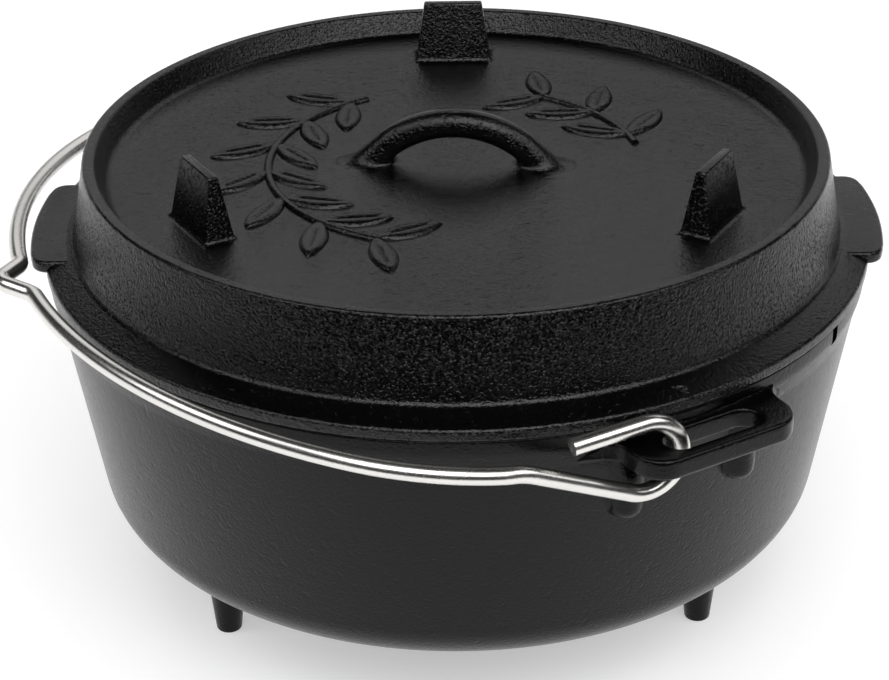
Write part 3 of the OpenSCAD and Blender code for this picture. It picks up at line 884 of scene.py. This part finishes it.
def make_world():
    world = bpy.data.worlds.new("white_room")
    scene.world = world
    world.use_nodes = True
    tree = world.node_tree
    base = tree.nodes["Background"]
    base.inputs["Color"].default_value = (1, 1, 1, 1)
    # Mirrors show the white room low down behind the object, and a dark room elsewhere
    place = tree.nodes.new("ShaderNodeTexCoord")
    ahead = tree.nodes.new("ShaderNodeVectorMath")
    ahead.operation = "DOT_PRODUCT"
    ahead.inputs[1].default_value = image_point(0, 1, 0)
    tree.links.new(place.outputs["Generated"], ahead.inputs[0])
    behind = spread(tree, ahead.outputs["Value"], 0.25, 0.7)
    split = tree.nodes.new("ShaderNodeSeparateXYZ")
    tree.links.new(place.outputs["Generated"], split.inputs["Vector"])
    low = spread(tree, split.outputs["Z"], 0.18, 0.02)
    room = maths(tree, "MULTIPLY", behind, low)
    in_mirrors = maths(tree, "MULTIPLY", seen_by(tree, "Is Glossy Ray", "Is Transmission Ray"), room)
    seen = maths(tree, "MAXIMUM", seen_by(tree, "Is Camera Ray"), in_mirrors)
    tree.links.new(spread(tree, seen, 0.0, 1.0, DARK_ROOM, 1.0), base.inputs["Strength"])


def make_camera():
    """The camera that was fitted to the photo; lengths in metres, roll in radians."""
    eye = Vector((0.71814, -0.44229, 0.55132))
    aim = Vector((-0.00251, -0.00413, 0.09282))
    roll = -0.0114
    ahead = (aim - eye).normalized()
    level = Vector((ahead.y, -ahead.x, 0)).normalized()
    up = level.cross(ahead)
    right = math.cos(roll) * level + math.sin(roll) * up
    top = -math.sin(roll) * level + math.cos(roll) * up
    data = bpy.data.cameras.new("camera")
    data.sensor_width = 36.0
    data.lens = 103.185
    data.clip_start = 0.05
    data.clip_end = 50.0
    camera = bpy.data.objects.new("camera", data)
    bpy.context.collection.objects.link(camera)
    camera.matrix_world = Matrix((
        (right.x, top.x, -ahead.x, eye.x),
        (right.y, top.y, -ahead.y, eye.y),
        (right.z, top.z, -ahead.z, eye.z),
        (0, 0, 0, 1)))
    scene.camera = camera


make_camera()
scene.view_settings.view_transform = "Standard"
make_floor()
make_world()
for lamp_row in LAMPS:
    make_lamp(*lamp_row)
bpy.data.objects["top_panel"].visible_glossy = False

cast_skin = make_cast_grain()
pot_iron = make_iron("pot_cast_iron", cast_skin, dark=0.0005, light=0.0009, rough_low=0.14, rough_high=0.24,
                     grain=1000.0, pits=0.3, depth=0.0002, wall_grain=0.0, ior=1.29)
lid_iron = make_iron("lid_cast_iron", cast_skin, dark=0.0004, light=0.0008, rough_low=0.08, rough_high=0.2,
                     grain=950.0, pits=0.4, depth=0.00028, wall_grain=0.9, ior=1.4)
steel = make_steel()

dress(make_pot_body(), pot_iron, "pot", "pot_iron", "pot_shell", "pot_rim")
for letter, foot in zip("abc", ring_of_three(make_foot(), "pot_foot")):
    dress(foot, pot_iron, "pot", "pot_iron", "pot_foot_" + letter)
ear = make_ear()
ear_rear = turned_copy(ear, 180, "pot_ear_rear_cast")
dress(ear, pot_iron, "pot", "pot_iron", "pot_ear_front", "pot_lug_front_left", "pot_lug_front_right")
dress(ear_rear, pot_iron, "pot", "pot_iron", "pot_ear_rear", "pot_lug_rear_left", "pot_lug_rear_right")

dress(make_lid_body(), lid_iron, "lid", "lid_iron", "lid_shell")
for letter, leg in zip("abc", ring_of_three(make_leg(), "lid_leg")):
    dress(leg, lid_iron, "lid", "lid_iron", "lid_leg_" + letter)
dress(make_loop(), lid_iron, "lid", "lid_iron", "lid_loop")
tab = make_tab()
tab_left = turned_copy(tab, 180, "lid_tab_left_cast")
dress(tab, lid_iron, "lid", "lid_iron", "lid_tab_right")
dress(tab_left, lid_iron, "lid", "lid_iron", "lid_tab_left")
wreath = make_relief("lid_wreath", 178, 128, range(184, 305, 20))
dress(wreath, lid_iron, "lid", "lid_iron", "lid_relief_wreath")
sprig = make_relief("lid_sprig", 72, 46, range(78, 119, 20))
dress(sprig, lid_iron, "lid", "lid_iron", "lid_relief_sprig")

dress(make_bail(), steel, "bail", "bail_steel",
      "bail_grip", "bail_bow_front", "bail_bow_rear", "bail_arm_front", "bail_arm_rear",
      "bail_hook_front", "bail_hook_rear")
